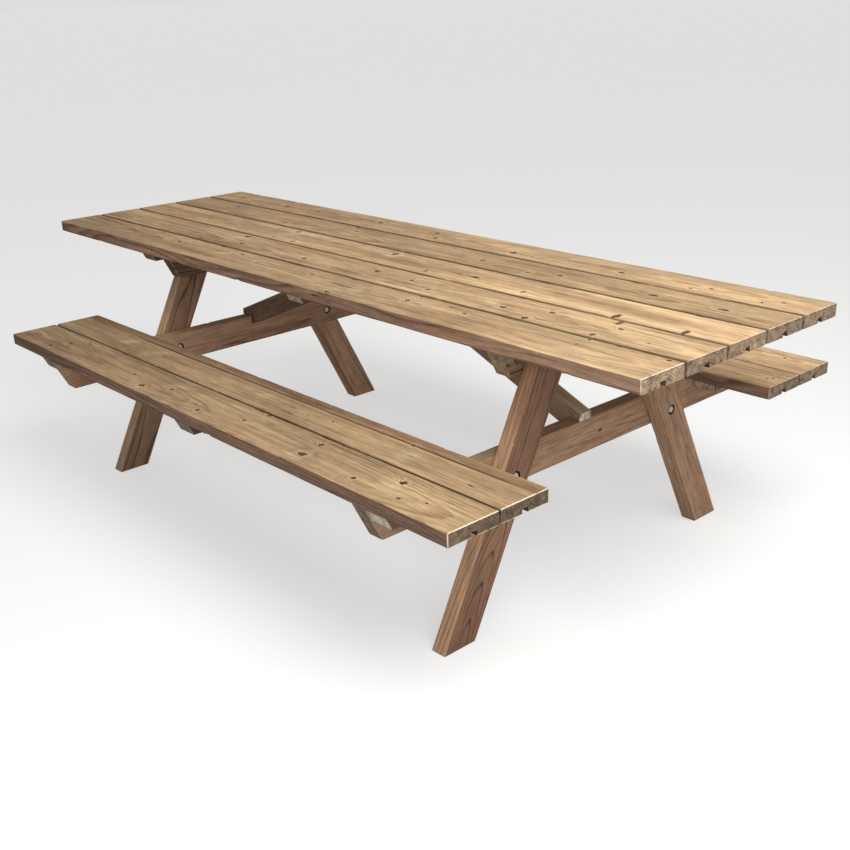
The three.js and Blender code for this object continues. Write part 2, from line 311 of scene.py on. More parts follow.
def worn_in(timber, chips, spot, arris, z, seed):
    """How far a point of the surface lies inside the sawn outline."""
    wave = noise.noise(Vector((spot.x * 16 + seed, spot.y * 16, z * 3.1)))
    depth = WAVE_DEPTH * (1 + wave)
    if arris is None:
        return depth
    rub = noise.noise(Vector((arris * 5.3 + seed, 1.7, z * 11)))
    depth += RUB_DEPTH * max(0, rub + 0.25)
    for chip_arris, place, length, chip_depth in chips:
        share = abs(z - place) / (length / 2)
        if chip_arris == arris and share < 1:
            ragged = 0.7 + 0.3 * noise.noise(Vector((z * 400, seed, arris)))
            depth += chip_depth * (1 - share ** 2) * ragged
    return depth


def timber_mesh(timber, seed):
    """The timber as a closed mesh in its own axes."""
    dice = random.Random(seed)
    chips = random_chips(timber, dice)
    outline = section(timber)
    mesh = bmesh.new()
    rings = []

    def ring(z_of, inset):
        verts = []
        for spot, normal, arris in outline:
            place = spot - normal * (inset + worn_in(timber, chips, spot, arris, z_of(spot.x), seed))
            verts.append(mesh.verts.new((place.x, place.y, z_of(place.x))))
        rings.append(verts)

    ring(lambda x: timber.end_at(-1, x), END_ARRIS)
    ring(lambda x: timber.end_at(-1, x) + END_ARRIS, 0)
    for share in stations(timber, chips):
        ring(lambda x: timber.end_at(-1, x) * (0.5 - share) + timber.end_at(1, x) * (0.5 + share), 0)
    ring(lambda x: timber.end_at(1, x) - END_ARRIS, 0)
    ring(lambda x: timber.end_at(1, x), END_ARRIS)
    skin(mesh, rings)
    return to_data(mesh, timber.node)


def skin(mesh, rings, closed=False):
    """Joins rings of points by faces. The ends are capped unless the rings close up."""
    pairs = list(zip(rings, rings[1:]))
    if closed:
        pairs.append((rings[-1], rings[0]))
    for lower, upper in pairs:
        for i in range(len(lower)):
            j = (i + 1) % len(lower)
            mesh.faces.new((lower[i], lower[j], upper[j], upper[i]))
    if not closed:
        mesh.faces.new(list(reversed(rings[0])))
        mesh.faces.new(rings[-1])


def to_data(mesh, name):
    """Turns a bmesh into mesh data with its faces pointing out."""
    bmesh.ops.recalc_face_normals(mesh, faces=mesh.faces)
    data = bpy.data.meshes.new(name)
    mesh.to_mesh(data)
    mesh.free()
    return data


def cylinder(radius, low, high):
    """A cutter along y."""
    mesh = bmesh.new()
    place = Matrix.Translation((0, (low + high) / 2, 0)) @ Matrix.Rotation(math.pi / 2, 4, "X")
    sizes = {"radius1": radius, "radius2": radius, "depth": high - low}
    bmesh.ops.create_cone(mesh, cap_ends=True, segments=RING_SIDES, matrix=place, **sizes)
    return mesh


def add_object(name, data):
    made = bpy.data.objects.new(name, data)
    bpy.context.collection.objects.link(made)
    return made


def cut(data, cutters):
    """Cuts a list of cutter meshes out of mesh data, and returns the new data."""
    body = add_object("body", data)
    tools = []
    for cutter in cutters:
        tool = add_object("cutter", to_data(cutter, "cutter"))
        modifier = body.modifiers.new("cut", "BOOLEAN")
        modifier.operation = "DIFFERENCE"
        modifier.solver = "EXACT"
        modifier.object = tool
        tools.append(tool)
    depsgraph = bpy.context.evaluated_depsgraph_get()
    result = bpy.data.meshes.new_from_object(body.evaluated_get(depsgraph), depsgraph=depsgraph)
    for used in [body, *tools]:
        bpy.data.objects.remove(used)
    return result


def drilled(data, timber):
    """The timber's mesh with its bolt holes and counterbores."""
    face = timber.thick / 2
    outside = face + BEYOND
    cutters = []
    for x, z, side, depth in timber.holes:
        bore = (face - depth, outside) if side > 0 else (-outside, -face + depth)
        for radius, low, high in ((HOLE_RADIUS, -outside, outside), (BORE_RADIUS, *bore)):
            cutter = cylinder(radius, low, high)
            bmesh.ops.translate(cutter, verts=cutter.verts, vec=(x, 0, z))
            cutters.append(cutter)
    return to_data(merged(cut(data, cutters)), timber.node) if cutters else data


def merged(data):
    """A bmesh of mesh data, with the points merged that lie almost on top of each other."""
    mesh = bmesh.new()
    mesh.from_mesh(data)
    bmesh.ops.remove_doubles(mesh, verts=mesh.verts, dist=SLIVER)
    return mesh


def remember_grain(data, to_local=None):
    """Stores each point's place in the timber's own axes, for the wood's pattern."""
    attribute = data.attributes.new("grain", "FLOAT_VECTOR", "POINT")
    for i, vertex in enumerate(data.vertices):
        attribute.data[i].vector = to_local @ vertex.co if to_local else vertex.co


def place_piece(name, data, material, node=None):
    """Makes an object of mesh data that is already in the frame's axes, and rides it on the table."""
    data.shade_smooth()
    data.set_sharp_from_angle(angle=SHARP_ANGLE)
    piece = add_object(name, data)
    data.materials.clear()
    data.materials.append(material)
    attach(piece, "root")
    if node:
        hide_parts(node)


def build_timber(timber, seed, material):
    data = drilled(timber_mesh(timber, seed), timber)
    remember_grain(data)
    data.transform(timber.matrix)
    place_piece(f"{timber.node}_timber", data, material, timber.node)


# ---- braces: the CAD shape in short lengths, with waves and rubbed arrises ----

def brace_timber(end):
    node = f"{end}_brace"
    size, middle = measure(node)
    along = Vector((-ENDS[end], 0, BRACE_SLOPE)).normalized()
    return Timber(node, along, along.cross(Y_AXIS), (BRACE_WIDTH, size.y, size.length), middle)


def build_brace(timber, seed, material):
    mesh = merged(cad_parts[timber.node].data)
    bmesh.ops.dissolve_limit(mesh, angle_limit=0.01, verts=mesh.verts, edges=mesh.edges)
    steps = round(timber.length / STATION_SPACING)
    for i in range(1, steps):
        spot = timber.matrix.translation + timber.along * (i / steps - 0.5) * timber.length
        whole = [*mesh.verts, *mesh.edges, *mesh.faces]
        bmesh.ops.bisect_plane(mesh, geom=whole, dist=1e-6, plane_co=spot, plane_no=timber.along)
    mesh.normal_update()
    for vertex in mesh.verts:
        wave = noise.noise(vertex.co * 14 + Vector((seed, 0, 0)))
        from_side = timber.thick / 2 - abs(vertex.co.y)
        sharp = 1 + 2 * max(0, 1 - from_side / ARRIS_RADIUS)
        vertex.co -= vertex.normal * WAVE_DEPTH * (1 + wave) * sharp
    data = to_data(mesh, timber.node)
    remember_grain(data, timber.matrix.inverted())
    place_piece(f"{timber.node}_timber", data, material, timber.node)


# ---- fasteners ----

def loft(rings, closed=False):
    mesh = bmesh.new()
    skin(mesh, [[mesh.verts.new(point) for point in ring] for ring in rings], closed)
    return mesh


def polar(reach, angle, z):
    return (reach * math.cos(angle), reach * math.sin(angle), z)


def circle(radius, z):
    return [polar(radius, angle, z) for angle in RING_ANGLES]


def hexagon(flat_radius, z, slope=0):
    """Hexagon ring whose corners are lowered by slope times their distance beyond the flats."""
    ring = []
    for angle in RING_ANGLES:
        reach = flat_radius / math.cos(angle % (math.pi / 3) - math.pi / 6)
        ring.append(polar(reach, angle, z - slope * (reach - flat_radius)))
    return ring


def star(radius, z):
    """Ring of a six-lobed recess."""
    return [polar(radius * (1 - LOBE_DEPTH * (0.5 - 0.5 * math.cos(6 * a))), a, z) for a in RING_ANGLES]


def thread(start, end):
    """Rings of a helical thread between two heights."""
    steps = round(abs(end - start) / BOLT_PITCH * THREAD_STEPS)
    rings = []
    for step in range(steps + 1):
        z = start + (end - start) * step / steps
        ring = []
        for i, angle in enumerate(RING_ANGLES):
            phase = (z / BOLT_PITCH - i / RING_SIDES) % 1
            ring.append(polar(BOLT_RADIUS - THREAD_DEPTH * abs(2 * phase - 1), angle, z))
        rings.append(ring)
    return rings


def bolt_mesh(head_height, flat_radius, length):
    """Hexagon bolt: the head stands on z = 0 and the shank runs down to z = -length."""
    face = FACE_SHARE * flat_radius
    rings = [
        circle(0.55 * face, head_height - 0.35 * MM),
        circle(0.62 * face, head_height),
        circle(face, head_height),
        hexagon(flat_radius, head_height, CHAMFER_SLOPE),
        hexagon(flat_radius, 2 * EDGE_BREAK),
        circle(face, EDGE_BREAK),
        circle(face, 0),
        circle(BOLT_RADIUS, 0),
        circle(BOLT_RADIUS, THREAD_LENGTH + BOLT_TIP - length),
    ]
    rings += thread(THREAD_LENGTH - length, BOLT_TIP - length)
    rings.append(circle(BOLT_RADIUS - BOLT_TIP, -length))
    return loft(rings)


def bore_rings(radius, height, lead):
    """Rings of a round bore from the top down, opened out by lead at both mouths."""
    return [
        circle(radius + lead, height),
        circle(radius, height - lead),
        circle(radius, lead),
        circle(radius + lead, 0),
    ]


def nut_mesh(height, flat_radius, bore_radius):
    """Hexagon nut between z = 0 and z = height."""
    face = FACE_SHARE * flat_radius
    rings = [
        circle(face, 0),
        hexagon(flat_radius, 0, -CHAMFER_SLOPE),
        hexagon(flat_radius, height, CHAMFER_SLOPE),
        circle(face, height),
    ]
    return loft(rings + bore_rings(bore_radius, height, NUT_LEAD), closed=True)


def washer_mesh(height, outer, inner):
    rings = [
        circle(outer - EDGE_BREAK, 0),
        circle(outer, EDGE_BREAK),
        circle(outer, height - EDGE_BREAK),
        circle(outer - EDGE_BREAK, height),
    ]
    return loft(rings + bore_rings(inner, height, EDGE_BREAK), closed=True)


def screw_mesh(length):
    """Wood screw: the underside of its head at z = 0, its point at z = -length."""
    rings = [
        star(LOBE_FLOOR_RADIUS, SCREW_HEAD_HEIGHT - LOBE_RECESS),
        star(LOBE_RADIUS, SCREW_HEAD_HEIGHT),
        circle(0.8 * SCREW_HEAD_RADIUS, SCREW_HEAD_HEIGHT),
        circle(SCREW_HEAD_RADIUS, 0.55 * SCREW_HEAD_HEIGHT),
        circle(SCREW_HEAD_RADIUS, 0),
        circle(SCREW_SHANK_RADIUS, -SCREW_NECK),
        circle(SCREW_SHANK_RADIUS, SCREW_POINT - length),
        circle(SCREW_TIP_RADIUS, -length),
    ]
    return loft(rings)


def aim(origin, direction, spin=0):
    """Matrix that stands a fastener's z along direction."""
    turn = direction.to_track_quat("Z", "Y").to_matrix().to_4x4()
    return Matrix.Translation(origin) @ turn @ Matrix.Rotation(spin, 4, "Z")


def build_bolt_set(prefix, sign, steel, dice):
    """The bolt, nut and washers at one crossing, each turned by its own angle."""
    near, far = (0, 1) if sign > 0 else (1, 0)
    boxes = {part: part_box(f"{prefix}_{part}") for part in BOLT_PARTS}
    sizes = {part: high - low for part, (low, high) in boxes.items()}
    starts = {part: corners[near].x for part, corners in boxes.items()}
    head_end = starts["bolt"]
    seat = starts["head_washer"] - sign * HEAD_GAP
    starts["bolt"] = seat
    flat_radius = sizes["nut"].z * math.cos(math.pi / 6) / 2
    meshes = {
        "bolt": bolt_mesh(abs(seat - head_end), flat_radius, abs(boxes["bolt"][far].x - seat)),
        "nut": nut_mesh(sizes["nut"].x, flat_radius, BOLT_RADIUS + NUT_GAP),
    }
    for washer in ("head_washer", "nut_washer"):
        meshes[washer] = washer_mesh(sizes[washer].x, sizes[washer].z / 2, HOLE_RADIUS)
    centre = measure(f"{prefix}_bolt")[1]
    for part in BOLT_PARTS:
        node = f"{prefix}_{part}"
        way = X_AXIS * (-sign if part == "bolt" else sign)
        matrix = aim(Vector((starts[part], centre.y, centre.z)), way, dice.uniform(0, math.pi / 3))
        mesh = meshes[part]
        bmesh.ops.transform(mesh, matrix=matrix, verts=mesh.verts)
        data = to_data(mesh, node)
        place_piece(f"{node}_steel", data, steel, node)


def build_screws(name, spots, length, steel, dice):
    """Several screws as one piece. Each spot is (where the head stands, which way it faces)."""
    whole = bmesh.new()
    for origin, facing in spots:
        screw = screw_mesh(length)
        bmesh.ops.transform(screw, matrix=aim(origin, facing, dice.uniform(0, math.pi)), verts=screw.verts)
        data = to_data(screw, name)
        whole.from_mesh(data)
        bpy.data.meshes.remove(data)
    data = to_data(whole, name)
    place_piece(name, data, steel)


def batten_screw_spots(batten, boards):
    """Two screws up into every board that crosses the batten."""
    low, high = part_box(batten)
    spots = []
    for board in boards:
        middle = measure(board)[1].y
        for row in (-1, 1):
            x = (low.x + high.x) / 2 + row * SCREW_STAGGER * (high.x - low.x)
            y = middle + row * SCREW_OFFSET
            if low.y + SCREW_MARGINS[0] < y < high.y - SCREW_MARGINS[1]:
                spots.append((Vector((x, y, low.z)), -Z_AXIS))
    return spots


# ---- shader helper ----

class Shader:
    """Short calls for the nodes of one material. Inputs are numbers, tuples or output sockets."""

    def __init__(self, name):
        self.material = bpy.data.materials.new(name)
        self.material.use_nodes = True
        self.tree = self.material.node_tree
        self.surface = self.tree.nodes["Principled BSDF"].inputs

    def node(self, kind, *values, **settings):
        """A new node. The values go to its first inputs, apart from those that are None."""
        made = self.tree.nodes.new(kind)
        for key, value in settings.items():
            setattr(made, key, value)
        for socket, value in zip(made.inputs, values):
            self.feed(socket, value)
        return made

    def feed(self, socket, value):
        if isinstance(value, bpy.types.NodeSocket):
            self.tree.links.new(value, socket)
        elif value is not None:
            socket.default_value = value

    def math(self, operation, *values):
        return self.node("ShaderNodeMath", *values, operation=operation).outputs[0]

    def times(self, a, b):
        return self.math("MULTIPLY", a, b)

    def scaled(self, value, factor, offset):
        return self.math("MULTIPLY_ADD", value, factor, offset)

    def absolute(self, value):
        return self.math("ABSOLUTE", value)

    def vector(self, operation, *values):
        made = self.node("ShaderNodeVectorMath", *values, operation=operation)
        return made.outputs["Value" if operation in ("LENGTH", "DOT_PRODUCT") else "Vector"]

    def split(self, vector):
        return self.node("ShaderNodeSeparateXYZ", vector).outputs[:3]

    def join(self, x, y, z):
        return self.node("ShaderNodeCombineXYZ", x, y, z).outputs[0]

    def noise(self, place, scale=None, detail=2.0, roughness=0.5, output="Fac"):
        """Noise that is as fine as scale says along each axis, per metre."""
        if scale:
            place = self.vector("MULTIPLY", place, scale)
        return self.node("ShaderNodeTexNoise", place, None, 1.0, detail, roughness).outputs[output]

    def chance(self, value):
        """A random number for each whole number."""
        return self.node("ShaderNodeTexWhiteNoise", None, value, noise_dimensions="1D").outputs["Value"]

    def step(self, value, low, high):
        """0 below low and 1 above high, smoothly. High may be the smaller one."""
        ends = (low, high, 0.0, 1.0) if low < high else (high, low, 1.0, 0.0)
        made = self.node("ShaderNodeMapRange", value, *ends, interpolation_type="SMOOTHSTEP")
        return made.outputs["Result"]

    def mix(self, share, a, b, blend="MIX"):
        made = self.node("ShaderNodeMix", share, data_type="RGBA", blend_type=blend)
        self.feed(made.inputs[6], a)
        self.feed(made.inputs[7], b)
        return made.outputs[2]

    def bump(self, height, depth, strength):
        made = self.node("ShaderNodeBump")
        made.inputs["Distance"].default_value = depth
        made.inputs["Strength"].default_value = strength
        self.feed(made.inputs["Height"], height)
        self.feed(self.surface["Normal"], made.outputs[0])


def colour(hexadecimal):
    """Linear colour with alpha from an 0xRRGGBB value."""
    parts = [(hexadecimal >> shift & 255) / 255 for shift in (16, 8, 0)]
    return (*[p / 12.92 if p <= 0.04045 else ((p + 0.055) / 1.055) ** 2.4 for p in parts], 1.0)


# ---- wood ----

@dataclass
class Look:
    """Colours and ring pattern shared by the timbers of one kind."""

    early: int             # colour between the ring lines
    late: int              # colour on the ring lines
    bleached: int          # the same two for faces that look up
    bleached_late: int
    end: int               # colour of the sawn ends
    contrast: float
    ring_width: float
    ring_edge: tuple       # share of a ring's width where its latewood starts and is full
    evenness: float        # how strong the faintest ring is
    streak: float          # how much the shade varies along lines of the grain


BOARD_LOOK = Look(0xA88670, 0x5A4232, 0xCDAC83, 0x8A6442, 0xB0967A, 0.75, 7 * MM, (0.3, 0.88), 0.2, 1.2)
FRAME_LOOK = Look(0xB08C70, 0x4A2E22, 0xEAC29C, 0xB08462, 0x968468, 0.95, 9 * MM, (0.74, 0.92), 0.6, 0.6)
BATTEN_LOOK = Look(0x8E6C54, 0x4A3226, 0xA8845E, 0x5E4232, 0xEADCC4, 0.9, 9 * MM, (0.5, 0.9), 0.3, 0.6)
BRACE_LOOK = Look(0xB09078, 0x5A4234, 0xDCC0A0, 0x84664E, 0xE8D8BC, 0.8, 9 * MM, (0.5, 0.9), 0.3, 0.6)

KNOT_CORE = colour(0x784E2C)
# Dark bark round a knot, also used for the painted shade beside the gaps
KNOT_EDGE_AND_GAP_SHADE = colour(0x3E2616)
# Pale halo round a knot, also used for the painted sheen
PALE_HALO_AND_SHEEN = colour(0xE2CA9C)
HEARTWOOD = colour(0x8A5C42)
WORN_ARRIS = colour(0xF6E8CC)
# Dark of the drying checks, also used for the painted shade along the arrises
CRACK_AND_SHADE_DARK = colour(0x20140C)
# Colour of the painted shade in the groove, the gaps and the bores
RECESS_SHADE = colour(0x20160C)

# How fine the patterns are across, through and along the grain, per metre
FIBRES = (620, 620, 9)
DASHES = (250, 250, 15)
STREAKS = (95, 95, 3)
MOTTLE = (70, 70, 22)
BLOTCHES = (13, 13, 2.2)
UNEVEN_RINGS = (17, 17, 2.6)
CHECKS = (34, 34, 1.1)
END_PATCHES = (75, 75, 75)
KNOT_RAGS = (170, 170, 60)
SPECKS = (330, 330, 330)

RING_WANDER = 50 * MM  # how far the pith strays along a timber
RING_WAVE = 13 * MM  # how far single rings stray
KNOT_PUSH = 12 * MM  # how far the rings swerve round a knot
HEART_RADII = (34 * MM, 22 * MM)  # from the pith: where heartwood starts and is full

# How strongly each colour is mixed in, at most
HEART_SHARE = 0.4
FAINT_HEART_SHARE = 0.2  # where nothing is known of the heartwood
RED_SHARE = 0.26
END_SHARE = 0.9
CHECK_SHARE = 0.8
# The next four are painted shade: along the arrises, in the recesses, on the walls of the gaps, and on the
# upper faces of the top boards beside the gaps
ARRIS_SHADE_SHARE = 0.5
RECESS_SHADE_SHARE = 0.9
GAP_WALL_SHADE = 0.35
TOP_GAP_SHADE = 0.6
ALONG_RUB_SHARE = 0.3

SPLIT_WAVE = 6 * MM
SPLIT_EDGE = (3.4 * MM, 1.5 * MM)  # from a split's middle: where it starts and is full
RELIEF = 0.8 * MM

# Distances from an arris, end, gap or face at which wear and painted shade start and are full
ALONG_RUB = (3 * MM, 0.8 * MM)
END_RUB = (3.2 * MM, 1.2 * MM)
END_REACH = (6 * MM, 3 * MM)
# Painted shade along the arrises of faces that don't look up
ARRIS_SHADE = (5 * MM, 1.5 * MM)
# Painted shade on upper faces beside a gap
GAP_EDGE = (6.5 * MM, 3 * MM)
GAP_SHELTER = (6 * MM, 4 * MM)
SHELTER_DEPTH = (2 * MM, 4 * MM)
# Painted shade on the walls of a gap and in a bore below its mouth, with the soft edge of that shade
GAP_WALL = (1.6 * MM, 0.5 * MM)
BORE_MOUTH = (0.2 * MM, 1.5 * MM)
RECESS_EDGE = 0.3 * MM


@dataclass
class Cut:
    """How one timber was cut from its log, and what shows on its faces."""

    pith: tuple            # middle of the rings, across and through, at mid length
    lean: tuple            # how the pith wanders per metre along
    seed: float
    bend: float = None     # where along the pith stops wandering, if it does
    knots: tuple = ()      # (along, across, radius, stretch)
    flares: tuple = ()     # painted sheen where the grain waves: (along, across, length, width, turn in degrees)
    heart: tuple = None    # across, where heartwood starts and is full
    split: tuple = None    # (across, from, to) of a long drying split
    tone: float = 1.0      # how light it is next to the others, partly its own tone and partly painted light and shade
    painted_up_light: float = 1.0   # painted light and shade on its faces that look up, on top of that
    end_tone: float = 1.0  # how light its ends are, on top of that
    end_wear: float = 0.4  # how pale the arris round an end is worn
    rings: float = 1.0     # how strongly the rings show
    gap_shade: float = 0.1  # how much painted shade darkens its upper edges beside the gaps to its neighbours


class Wood(Shader):
    """The material of one timber, with the places, directions and patterns that its steps share."""

    def __init__(self, timber, look, log):
        super().__init__(f"{timber.node}_wood")
        self.timber = timber
        self.look = look
        self.log = log
        self.place = self.node("ShaderNodeAttribute", attribute_name="grain").outputs["Vector"]
        self.x, self.y, self.z = self.split(self.place)
        self.scattered = self.vector("ADD", self.place, (log.seed * 1.31, log.seed * 0.77, log.seed * 2.09))
        normal = self.node("ShaderNodeNewGeometry").outputs["True Normal"]
        along = self.absolute(self.vector("DOT_PRODUCT", normal, tuple(timber.along)))
        self.facing_end = self.step(along, 0.62, 0.75)
        self.facing_up = self.step(self.vector("DOT_PRODUCT", normal, (0, 0, 1)), 0.05, 0.55)
        self.fibres = self.noise(self.scattered, FIBRES)
        self.streaks = self.noise(self.scattered, STREAKS, 3.0, 0.6)
        self.mottle = self.noise(self.scattered, MOTTLE, 3.0, 0.6)
        self.patches = self.noise(self.scattered, END_PATCHES)

    def mix_in(self, share, tint):
        self.colour = self.mix(share, self.colour, tint)

    def shaded(self, tint, shade):
        return self.mix(1.0, tint, self.join(shade, shade, shade), "MULTIPLY")

    def raised(self, value, factor):
        self.height = self.scaled(value, factor, self.height)

    def beside_gap(self, sign, reach):
        """1 near the side that sign says, and 0 away from it."""
        side = self.timber.width / 2
        return self.step(self.times(self.x, sign), side - reach[0], side - reach[1])

    def below_face(self, depth):
        """1 deeper inside the two faces than depth says, and 0 at them."""
        face = self.timber.thick / 2
        return self.step(self.absolute(self.y), face - depth[0], face - depth[1])


def knot_distance(w, knots):
    """Distance to the nearest knot, in the knot's own radii."""
    nearest = None
    for along, across, radius, stretch in knots:
        away = w.vector("SUBTRACT", w.place, (across, 0, along))
        length = w.vector("LENGTH", w.vector("MULTIPLY", away, (1 / radius, 0, 1 / (radius * stretch))))
        nearest = length if nearest is None else w.math("SMOOTH_MIN", nearest, length, 0.4)
    return nearest


def ragged_knots(w):
    ragged = w.noise(w.scattered, KNOT_RAGS)
    return w.scaled(ragged, 2.0, w.math("SUBTRACT", knot_distance(w, w.log.knots), 1.0))


def sheen_strength(w):
    """Painted sheen: pale patches where the grain waves and the surface catches the light."""
    total = 0.0
    for along, across, length, width, turn in w.log.flares:
        c = math.cos(math.radians(turn))
        n = math.sin(math.radians(turn))
        away = w.vector("SUBTRACT", w.place, (across, 0, along))
        u = w.vector("DOT_PRODUCT", away, (-n / length, 0, c / length))
        v = w.vector("DOT_PRODUCT", away, (c / width, 0, n / width))
        total = w.math("MAXIMUM", total, w.step(w.vector("LENGTH", w.join(u, v, 0.0)), 1.0, 0.1))
    return total


def edge_distance(w):
    """Distance to the nearest arris, and to the nearest sawn end."""
    timber = w.timber
    side = w.math("SUBTRACT", timber.width / 2, w.absolute(w.x))
    face = w.math("SUBTRACT", timber.thick / 2, w.absolute(w.y))
    upper = w.math("SUBTRACT", w.scaled(w.x, timber.slopes[1], timber.length / 2), w.z)
    lower = w.math("SUBTRACT", w.z, w.scaled(w.x, timber.slopes[0], -timber.length / 2))
    end = w.math("MINIMUM", upper, lower)
    # The sum of the two smallest of the three: it is the distance itself on any face
    total = w.math("ADD", w.math("ADD", side, face), end)
    largest = w.math("MAXIMUM", w.math("MAXIMUM", side, face), end)
    return w.math("SUBTRACT", total, largest), end


def recess_shade(w):
    """Painted shade: 1 in the relief groove and the bolt holes, less in the gaps between boards, 0
    elsewhere.
    """
    timber = w.timber
    inside = 0.0
    if timber.groove:
        across = w.step(w.absolute(w.x), GROOVE_WIDTH / 2 + RECESS_EDGE, GROOVE_WIDTH / 2)
        roof = GROOVE_DEPTH - timber.thick / 2
        inside = w.times(across, w.step(w.y, roof + RECESS_EDGE, roof))
    for sign in timber.close_sides:
        inside = w.math("MAXIMUM", inside, w.times(w.beside_gap(sign, GAP_WALL), GAP_WALL_SHADE))
    for hole_x, hole_z, _, _ in timber.holes:
        away = w.vector("SUBTRACT", w.join(w.x, 0.0, w.z), (hole_x, 0, hole_z))
        wall = w.step(w.vector("LENGTH", away), BORE_RADIUS + RECESS_EDGE, BORE_RADIUS)
        inside = w.math("MAXIMUM", inside, w.times(wall, w.below_face(BORE_MOUTH)))
    return inside


def ring_pattern(w):
    """Growth rings: how much latewood there is at a point, and the distance from the pith."""
    log = w.log
    wander = w.noise(w.join(0.0, log.seed, w.scaled(w.z, 1.7, log.seed)), detail=1.0, output="Color")
    stray = w.split(w.vector("SUBTRACT", wander, (0.5, 0.5, 0.5)))
    reached = w.z if log.bend is None else w.math("MINIMUM", w.z, log.bend)
    away = []
    for at, pith, lean, shift in zip((w.x, w.y), log.pith, log.lean, stray):
        straight = w.scaled(reached, lean, w.math("SUBTRACT", at, pith))
        away.append(w.scaled(shift, RING_WANDER, straight))
    reach = w.vector("LENGTH", w.join(*away, 0.0))
    reach = w.scaled(w.noise(w.scattered, UNEVEN_RINGS), RING_WAVE, reach)
    if log.knots:
        reach = w.scaled(w.step(w.knots, 4.5, 0.4), KNOT_PUSH, reach)
    phase = w.math("DIVIDE", reach, w.look.ring_width)
    share = w.math("FRACT", phase)
    evenness = w.look.evenness
    strength = w.times(w.scaled(w.chance(w.math("FLOOR", phase)), 1 - evenness, evenness), log.rings)
    ridge = w.times(w.step(share, *w.look.ring_edge), w.step(share, 1.0, 0.94))
    return w.times(ridge, strength), reach


def lay_clear_wood(w, light_patch, red_patch):
    """Rings, heartwood, reddish patches and painted sheen. Returns the shade to multiply the wood by, with
    painted light and shade for the faces that look up in it.
    """
    look = w.look
    log = w.log
    stained = w.mix(w.times(w.late, look.contrast), colour(look.early), colour(look.late))
    bleached_late = w.times(w.late, look.contrast * 0.8)
    bleached = w.mix(bleached_late, colour(look.bleached), colour(look.bleached_late))
    w.colour = w.mix(w.facing_up, stained, bleached)
    heart = w.step(w.x, *log.heart) if log.heart else w.step(w.reach, *HEART_RADII)
    w.mix_in(w.times(heart, HEART_SHARE if log.heart else FAINT_HEART_SHARE), HEARTWOOD)
    w.mix_in(w.times(w.step(red_patch, 0.5, 0.68), RED_SHARE), HEARTWOOD)
    # Painted sheen on the faces that look up
    if log.flares:
        flare = w.times(sheen_strength(w), w.scaled(w.mottle, 0.9, 0.1))
        w.mix_in(w.times(flare, w.facing_up), PALE_HALO_AND_SHEEN)
    dashes = w.noise(w.scattered, DASHES, 2.0, 0.65)
    shade = log.tone
    patterns = (light_patch, w.fibres, w.streaks, w.mottle, dashes)
    for pattern, depth in zip(patterns, (1.0, 0.56, look.streak, 0.64, 0.7)):
        shade = w.times(shade, w.scaled(pattern, depth, 1 - depth / 2))
    shade = w.times(shade, w.scaled(w.step(dashes, 0.4, 0.27), -0.3, 1.0))
    # Painted light and shade on the faces that look up
    return w.times(shade, w.scaled(w.facing_up, log.painted_up_light - 1, 1.0))


def lay_end_grain(w):
    """End grain is greyer, with the rings and pale and dark patches across it."""
    tone = w.times(w.scaled(w.late, -0.6, w.scaled(w.patches, 1.8, 0.2)), w.log.end_tone)
    w.mix_in(w.times(w.facing_end, END_SHARE), w.shaded(colour(w.look.end), tone))


def lay_checks(w, figure):
    """Thin cracks along the grain where a stretched noise passes its middle value, and a long split."""
    middle = w.math("SUBTRACT", w.noise(w.scattered, CHECKS, 0.0), 0.5)
    crack = w.times(w.step(w.absolute(middle), 0.006, 0.001), w.step(figure, 0.56, 0.64))
    if w.log.split:
        across, start, stop = w.log.split
        wave = w.noise(w.join(0.0, w.log.seed, w.times(w.z, 4)))
        line = w.scaled(wave, SPLIT_WAVE, -SPLIT_WAVE / 2)
        away = w.absolute(w.math("SUBTRACT", w.math("SUBTRACT", w.x, across), line))
        reachable = w.times(w.step(w.z, start, start + 0.1), w.step(w.z, stop, stop - 0.1))
        long_split = w.times(w.step(away, *SPLIT_EDGE), reachable)
        crack = w.math("MAXIMUM", crack, w.times(long_split, w.facing_up))
    w.mix_in(w.times(crack, CHECK_SHARE), CRACK_AND_SHADE_DARK)
    w.raised(crack, -1.6)


def lay_knots(w):
    """A pale halo, a dark pin along the grain, a ragged ring of bark and a speckled core."""
    speck = w.noise(w.scattered, SPECKS)
    halo = w.times(w.step(w.knots, 3.2, 1.0), w.scaled(w.mottle, 0.8, 0.05))
    w.mix_in(w.times(halo, w.times(w.facing_up, 0.5)), PALE_HALO_AND_SHEEN)
    pins = knot_distance(w, [(z, x, 0.32 * radius, 8 * stretch) for z, x, radius, stretch in w.log.knots])
    w.mix_in(w.times(w.step(pins, 1.0, 0.3), 0.6), KNOT_CORE)
    bark = w.times(w.step(w.knots, 1.35, 0.95), w.scaled(speck, 1.2, 0.25))
    core = w.step(w.knots, 0.95, 0.6)
    w.mix_in(bark, KNOT_EDGE_AND_GAP_SHADE)
    w.mix_in(w.times(core, 0.75), w.mix(w.step(speck, 0.35, 0.65), KNOT_CORE, KNOT_EDGE_AND_GAP_SHADE))
    w.raised(bark, -0.7)
    w.rough = w.scaled(core, -0.15, w.rough)


